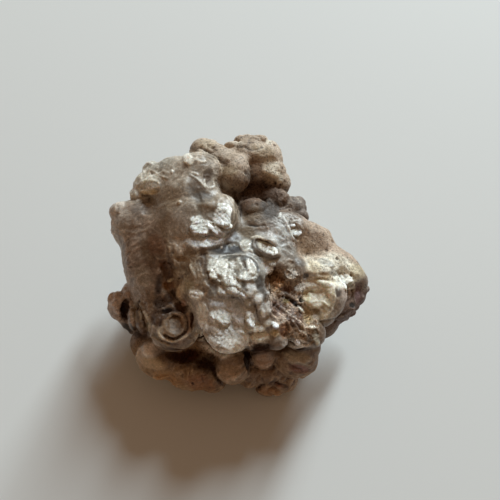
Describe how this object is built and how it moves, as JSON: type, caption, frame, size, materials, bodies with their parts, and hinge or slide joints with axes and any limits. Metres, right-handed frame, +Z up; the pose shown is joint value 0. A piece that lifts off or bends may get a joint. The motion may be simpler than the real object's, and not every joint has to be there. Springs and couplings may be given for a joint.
{
  "type": "botryoidal chalcedony",
  "caption": "Rough lump of chalcedony grown as grape-like bubbles and lobes over one another, with small hollows and a flat broken base to rest on.",
  "frame": {"origin": "centre of the flat broken base that the stone rests on", "axes": "+Z up from the base, +X to the right along the longest side, +Y away from someone who looks at the stone's front"},
  "size_m": [0.0728, 0.0675, 0.0424],
  "materials": {
    "chalcedony": "waxy to glassy on the bubbles, dull on the tan knobs"
  },
  "bodies": {
    "root": {"chalcedony": "chalcedony"}
  },
  "joints": []
}
